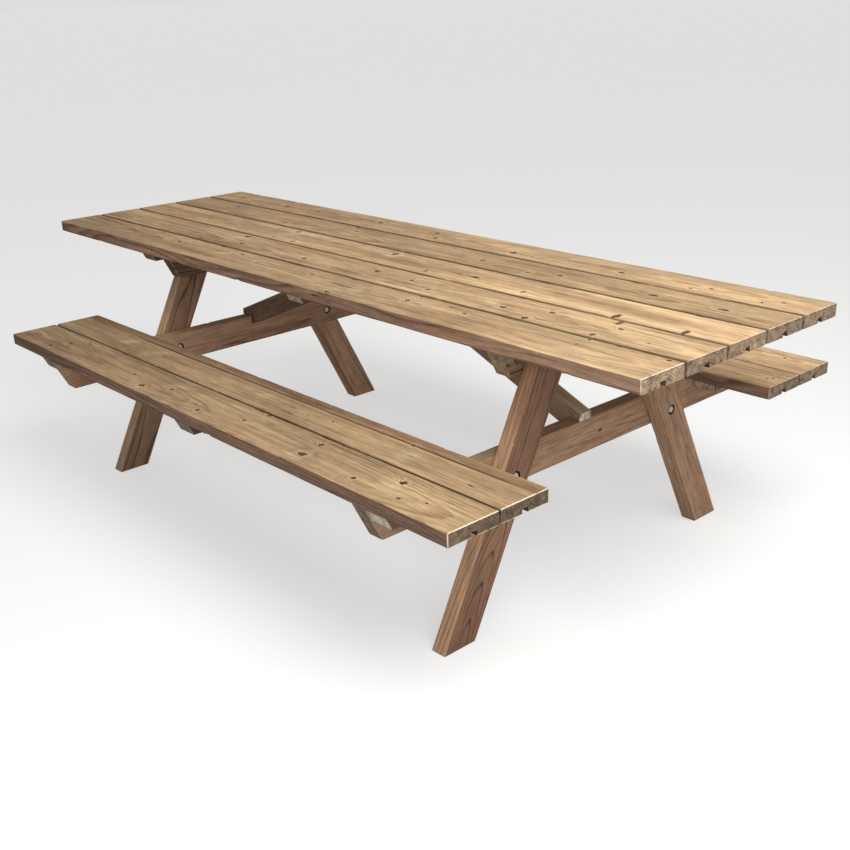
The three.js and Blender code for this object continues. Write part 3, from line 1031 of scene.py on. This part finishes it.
def lay_wear_and_shade(w):
    """Rubbed arrises, and painted shade along the arrises of faces that don't look up, on upper faces
    beside the gaps and in the recesses.
    """
    arris, end = edge_distance(w)
    along_rub = w.times(w.step(arris, *ALONG_RUB), w.step(w.streaks, 0.35, 0.65))
    end_rub = w.times(w.step(arris, *END_RUB), w.step(end, *END_REACH))
    end_rub = w.times(end_rub, w.step(w.patches, 0.2, 0.5))
    for sign in w.timber.close_sides:
        sheltered = w.times(w.beside_gap(sign, GAP_SHELTER), w.below_face(SHELTER_DEPTH))
        end_rub = w.times(end_rub, w.scaled(sheltered, -1.0, 1.0))
    # Painted shade along the arrises of the faces that don't look up
    mix_in = w.times(w.step(arris, *ARRIS_SHADE), w.scaled(w.facing_up, -1.0, 1.0))
    w.mix_in(w.times(mix_in, ARRIS_SHADE_SHARE), CRACK_AND_SHADE_DARK)
    rub = w.math("MAXIMUM", w.times(along_rub, ALONG_RUB_SHARE), w.times(end_rub, w.log.end_wear))
    w.mix_in(rub, WORN_ARRIS)
    # Painted shade on the upper faces beside the gaps
    for sign in w.timber.close_sides:
        edge_shade = w.times(w.facing_up, w.log.gap_shade)
        w.mix_in(w.times(w.beside_gap(sign, GAP_EDGE), edge_shade), KNOT_EDGE_AND_GAP_SHADE)
    # Painted shade in the groove, on the walls of the gaps and in the bores
    w.mix_in(w.times(recess_shade(w), RECESS_SHADE_SHARE), RECESS_SHADE)


def wood_material(timber, look, log):
    w = Wood(timber, look, log)
    if log.knots:
        w.knots = ragged_knots(w)
    w.late, w.reach = ring_pattern(w)
    light_patch, red_patch, figure = w.split(w.noise(w.scattered, BLOTCHES, output="Color"))
    shade = lay_clear_wood(w, light_patch, red_patch)
    lay_end_grain(w)
    w.colour = w.shaded(w.colour, shade)
    w.height = w.scaled(w.late, 0.35, w.times(w.fibres, 0.45))
    w.raised(w.streaks, 0.3)
    w.rough = w.scaled(w.fibres, 0.12, w.scaled(w.late, -0.12, 0.68))
    lay_checks(w, figure)
    if log.knots:
        lay_knots(w)
    lay_wear_and_shade(w)
    w.feed(w.surface["Base Color"], w.colour)
    w.feed(w.surface["Roughness"], w.rough)
    w.feed(w.surface["Specular IOR Level"], 0.32)
    w.bump(w.height, RELIEF, 0.7)
    return w.material


def random_knots(timber, dice, spacing=0.34):
    """Knots for a timber whose own aren't known."""
    knots = []
    for _ in range(max(1, round(timber.length / spacing))):
        along = dice.uniform(-0.48, 0.48) * timber.length
        across = dice.uniform(-0.42, 0.42) * timber.width
        radius = dice.uniform(2.5, 6) * MM
        knots.append((along, across, radius, dice.uniform(1.0, 1.9)))
    return knots


def random_cut(timber, dice, known):
    """A cut with the pith a little outside the timber, apart from what is known of it."""
    side = dice.choice((-1, 1))
    pith = (dice.uniform(-0.4, 0.4) * timber.width, side * (timber.thick / 2 + dice.uniform(6, 34) * MM))
    lean = (dice.uniform(-0.012, 0.012), dice.uniform(-0.016, 0.016))
    facts = {"pith": pith, "lean": lean, "seed": dice.uniform(1, 60)}
    if "knots" not in known:
        facts["knots"] = random_knots(timber, dice)
    return Cut(**{**facts, **known})


# ---- steel ----

def steel_material():
    """Zinc-plated steel with a mottled passivated film, fine scratches and dull spots."""
    s = Shader("zinc_plated_steel")
    place = s.node("ShaderNodeNewGeometry").outputs["Position"]
    film = s.noise(place, (260, 260, 260))
    dull = s.noise(place, (900, 900, 900), 3.0)
    scratch = s.noise(place, (400, 6000, 2600), 1.0)
    metal = s.mix(film, colour(0xE0E3E8), colour(0xECE6D8))
    metal = s.mix(s.step(dull, 0.56, 0.72), metal, colour(0xA8AAAE))
    s.feed(s.surface["Base Color"], metal)
    s.feed(s.surface["Roughness"], s.scaled(dull, 0.35, 0.16))
    s.feed(s.surface["Metallic"], 0.5)
    s.bump(scratch, 0.05 * MM, 0.4)
    return s.material


# ---- build ----

# Knots that can be seen, as (along, across, radius, stretch along the grain): places and radii in
# millimetres, from the board's middle
SEEN_KNOTS = {
    "top_board_1": [
        (1210, 60, 4, 1.6), (1000, 20, 3, 1), (650, 30, 5, 1), (460, 20, 6, 1.1), (460, 66, 4, 1),
        (60, 30, 4, 1.6), (-170, 10, 4, 1), (-290, 40, 5, 1.3), (-610, 20, 6, 1.2), (240, -60, 5, 1.5),
        (1000, 62, 4, 1),
    ],
    "top_board_2": [
        (1000, 20, 5, 1.2), (980, -55, 8, 0.7), (800, 20, 6, 1.2), (780, -55, 9, 0.7), (680, -20, 6, 1.4),
        (420, -25, 5, 1.3), (320, 10, 5, 1), (170, 20, 7, 1.3), (-110, -20, 6, 1.3), (-430, -20, 6, 1.4),
        (-500, 50, 10, 0.8), (-600, -60, 6, 1.3), (1110, -25, 3, 1),
    ],
    "top_board_3": [
        (1120, -55, 13, 0.5), (930, -55, 14, 0.5), (620, -35, 8, 0.5), (420, -5, 6, 2.4),
        (270, -45, 9, 0.5), (50, 40, 11, 0.7), (-330, -50, 8, 0.6), (-430, 45, 9, 0.6), (-430, -50, 6, 0.8),
        (-860, -10, 6, 1.2),
    ],
    "top_board_4": [
        (1080, -3, 6, 2.2), (880, -3, 6, 2.2), (580, 0, 6, 1.2), (490, -28, 5, 1.2), (300, -6, 6, 1.2),
        (-290, 20, 5, 1.2), (-330, 60, 6, 1.2), (-590, -40, 6, 1.3), (-970, 30, 6, 1.3),
    ],
    "top_board_5": [
        (1150, -10, 4, 1), (1110, -40, 4, 1), (950, -10, 4, 1), (910, -40, 4, 1.1), (680, -20, 6, 1.3),
        (380, -40, 4, 1.2), (300, -30, 8, 1.3), (-20, -37, 7, 1.2), (-70, 15, 7, 1.2), (-340, 15, 7, 1.2),
        (-660, 0, 6, 1.3), (-830, -5, 7, 1.3), (-1120, 0, 7, 1.3),
    ],
    "front_bench_outer_board": [
        (870, -7, 3, 1.2), (810, -31, 4, 1.1), (760, 27, 7.5, 1), (660, -31, 5, 1), (470, -26, 8, 1.3),
        (460, 39, 7, 0.9), (210, 65, 6, 1.1), (190, 3, 5, 1), (40, -37, 5, 1.2), (0, -18, 4, 1.1),
        (-150, 0, 5, 1.3), (-240, -40, 7, 1.2), (-340, -5, 4, 1.2), (-760, 8, 6, 1.2), (-790, -45, 6, 1.4),
    ],
    "front_bench_inner_board": [
        (620, 33, 4, 1.2), (360, 0, 3, 1.6), (280, -15, 3, 1), (-970, 45, 5, 1),
    ],
    "back_bench_outer_board": [
        (900, 20, 4, 1), (740, -30, 4, 1.2), (300, 20, 6, 1.2), (-400, -40, 6, 1.2),
    ],
    "back_bench_inner_board": [
        (965, 0, 3.5, 1), (972, 18, 3, 1), (955, -12, 3, 1), (700, 30, 4, 1.2), (100, -20, 7, 1.2),
        (-500, 30, 6, 1.3),
    ],
}

# Painted sheen where the grain waves, as (along, across, length, width, turn in degrees)
SEEN_SHEENS = {
    "top_board_1": [(0.28, 0.0, 0.05, 0.03, 35), (-0.35, 0.02, 0.07, 0.03, -30)],
    "top_board_2": [(-0.5, 0.02, 0.06, 0.035, -40), (0.62, 0.0, 0.06, 0.02, 30)],
    "top_board_3": [(0.05, 0.03, 0.05, 0.05, -35), (-0.43, 0.0, 0.07, 0.04, -35)],
    "front_bench_outer_board": [(0.74, 0.0, 0.05, 0.05, 40), (-0.15, 0.03, 0.06, 0.03, -30)],
    "front_bench_inner_board": [
        (0.66, -0.02, 0.06, 0.045, -40), (0.08, -0.01, 0.05, 0.03, -38),
        (-0.47, -0.01, 0.08, 0.04, -38), (-0.64, -0.01, 0.06, 0.03, -38),
    ],
}

# What else is known of single timbers. Their tones are partly painted light and shade, and the light of
# their faces that look up is painted light and shade
SEEN_CUTS = {
    "top_board_1": dict(tone=1.2, painted_up_light=0.83, end_tone=0.72, end_wear=0.7, gap_shade=TOP_GAP_SHADE),
    "top_board_2": dict(tone=1.1, end_tone=0.74, gap_shade=TOP_GAP_SHADE),
    "top_board_3": dict(tone=1.26, end_tone=0.6, rings=0.75, gap_shade=TOP_GAP_SHADE),
    "top_board_4": dict(tone=0.95, end_tone=0.72, gap_shade=TOP_GAP_SHADE),
    "top_board_5": dict(tone=1.14, end_tone=0.7, gap_shade=TOP_GAP_SHADE),
    "front_bench_outer_board": dict(
        pith=(-0.02, -0.042), lean=(0.0, 0.03), tone=0.86, end_tone=0.42, end_wear=0.9,
    ),
    "front_bench_inner_board": dict(
        heart=(0.028, 0.036), split=(0.033, -0.7, 0.98), tone=0.86, end_tone=0.38, end_wear=0.9,
    ),
    "back_bench_outer_board": dict(tone=1.2, end_tone=0.55),
    "back_bench_inner_board": dict(tone=0.86, painted_up_light=1.4, end_tone=0.7),
    "right_front_leg": dict(
        pith=(0.006, -0.075), lean=(0.0, 0.13), bend=-0.04, heart=(-0.1, -0.09), knots=[], tone=0.86,
        painted_up_light=1.45, rings=1.4,
    ),
    "right_back_leg": dict(pith=(-0.012, 0.06), lean=(0.0, -0.05), knots=[], tone=1.2, rings=0.5),
    "left_front_leg": dict(pith=(0.01, -0.1), lean=(0.02, 0.01), knots=[], tone=0.9, rings=0.9),
    "left_back_leg": dict(pith=(-0.01, -0.055), lean=(0.0, 0.0), knots=[], tone=1.8, rings=0.5),
    "right_seat_beam": dict(
        knots=[(0.06, 0.0, 0.004, 1.5)], tone=1.2, painted_up_light=0.5, end_tone=0.6, rings=0.5,
    ),
    "left_seat_beam": dict(knots=[], tone=1.4, painted_up_light=0.55, rings=0.6),
    "right_top_cleat": dict(knots=[], tone=1.1, end_tone=1.6),
    "right_top_batten": dict(knots=[], end_tone=0.42),
    "right_back_bench_batten": dict(knots=[], end_tone=0.6),
    "left_top_cleat": dict(knots=[], tone=0.6),
    "left_top_batten": dict(knots=[], tone=0.6, end_tone=0.6),
    "left_front_bench_batten": dict(knots=[], tone=0.7, end_tone=0.5),
    "middle_front_bench_batten": dict(knots=[], tone=0.7, end_tone=0.5),
    "left_brace": dict(knots=[], tone=0.7, rings=0.5),
    "right_brace": dict(knots=[], rings=0.6),
}


def look_of(timber):
    if timber.groove:
        return BOARD_LOOK
    return BATTEN_LOOK if "batten" in timber.node else FRAME_LOOK


def build_timbers(timbers):
    for index, timber in enumerate(timbers):
        name = timber.node
        dice = random.Random(101 + index)
        known = dict(SEEN_CUTS.get(name, {}))
        if name in SEEN_KNOTS:
            known["knots"] = [(a * MM, x * MM, r * MM, stretch) for a, x, r, stretch in SEEN_KNOTS[name]]
        if name in SEEN_SHEENS:
            known["flares"] = SEEN_SHEENS[name]
        material = wood_material(timber, look_of(timber), random_cut(timber, dice, known))
        build_timber(timber, index + 1.0, material)


def build_braces():
    for end, sign in ENDS.items():
        timber = brace_timber(end)
        log = random_cut(timber, random.Random(end), SEEN_CUTS[timber.node])
        build_brace(timber, 3.0 + sign, wood_material(timber, BRACE_LOOK, log))


def build_fasteners(steel):
    dice = random.Random(7)
    for end, sign in ENDS.items():
        for side in SIDES:
            for level in LEVELS:
                build_bolt_set(f"{end}_{side}_{level}", sign, steel, dice)
    for place in PLACES:
        rows = {f"{place}_top_batten": TOP_BOARDS}
        for side in SIDES:
            rows[f"{place}_{side}_bench_batten"] = [n for n in BENCH_BOARDS if n.startswith(side)]
        for batten, boards in rows.items():
            length = measure(batten)[0].z + SCREW_INTO_BOARD
            build_screws(f"{batten}_screws", batten_screw_spots(batten, boards), length, steel, dice)


# ---- studio ----

CAMERA_PLACE = Vector((2.4736, -2.0403, 1.4465))
CAMERA_AZIMUTH = math.radians(48.13)
CAMERA_ELEVATION = math.radians(21.39)
CAMERA_ROLL = math.radians(-1.85)
CAMERA_LENS = 47.36
FLOOR_SIZE = 400
FLOOR_GLOW = 0.55
DOME_LIGHT = 0.3
DOME_SEEN = 0.72
KEY_POWER = 86
KEY_TINT = (0.985, 1, 0.995)
FILL_POWER = 26


def add_camera():
    camera = add_object("camera", bpy.data.cameras.new("camera"))
    camera.data.lens = CAMERA_LENS
    camera.data.clip_end = 2 * FLOOR_SIZE
    turn = Matrix.Rotation(CAMERA_AZIMUTH, 4, "Z")
    tilt = Matrix.Rotation(math.pi / 2 - CAMERA_ELEVATION, 4, "X")
    roll = Matrix.Rotation(CAMERA_ROLL, 4, "Z")
    camera.matrix_world = Matrix.Translation(CAMERA_PLACE) @ turn @ tilt @ roll
    bpy.context.scene.camera = camera


def add_area_light(name, place, target, size, power, tint=(1, 1, 1)):
    lamp = bpy.data.lights.new(name, "AREA")
    lamp.size = size
    lamp.energy = power
    lamp.color = tint
    thing = add_object(name, lamp)
    thing.location = place
    thing.rotation_mode = "QUATERNION"
    thing.rotation_quaternion = (Vector(target) - Vector(place)).to_track_quat("-Z", "Y")
    thing.visible_camera = False


def add_floor():
    data = bpy.data.meshes.new("floor")
    half = FLOOR_SIZE / 2
    corners = [(-half, -half, 0), (half, -half, 0), (half, half, 0), (-half, half, 0)]
    data.from_pydata(corners, [], [(0, 1, 2, 3)])
    floor = add_object("floor", data)
    s = Shader("pale_floor")
    cloud = s.noise(s.node("ShaderNodeNewGeometry").outputs["Position"], (0.7, 0.7, 0.7))
    s.feed(s.surface["Base Color"], s.mix(cloud, colour(0xC6C6C4), colour(0xCACAC8)))
    s.feed(s.surface["Roughness"], 0.9)
    # The floor looks paler than it lights the table, as on a lit studio sweep
    s.feed(s.surface["Emission Color"], (FLOOR_GLOW, FLOOR_GLOW, FLOOR_GLOW, 1))
    s.feed(s.surface["Emission Strength"], s.node("ShaderNodeLightPath").outputs["Is Camera Ray"])
    data.materials.append(s.material)


def add_world():
    """A pale dome. Seen directly it is as bright as the floor far away."""
    world = bpy.data.worlds.new("studio")
    world.use_nodes = True
    tree = world.node_tree
    sky = tree.nodes["Background"]
    sky.inputs["Color"].default_value = (1, 1, 1, 1)
    seen = tree.nodes.new("ShaderNodeMapRange")
    tree.links.new(tree.nodes.new("ShaderNodeLightPath").outputs["Is Camera Ray"], seen.inputs["Value"])
    seen.inputs["To Min"].default_value = DOME_LIGHT
    seen.inputs["To Max"].default_value = DOME_SEEN
    tree.links.new(seen.outputs["Result"], sky.inputs["Strength"])
    bpy.context.scene.world = world


def add_studio():
    add_camera()
    add_floor()
    add_world()
    bpy.context.scene.view_settings.view_transform = "Standard"
    add_area_light("key", (2.2, -0.5, 3.0), (0.4, 0, 0.4), 2.2, KEY_POWER, KEY_TINT)
    add_area_light("fill", (3.6, -2.2, 1.5), (0.3, 0, 0.4), 1.6, FILL_POWER)


build_timbers(all_timbers())
build_braces()
build_fasteners(steel_material())
add_studio()
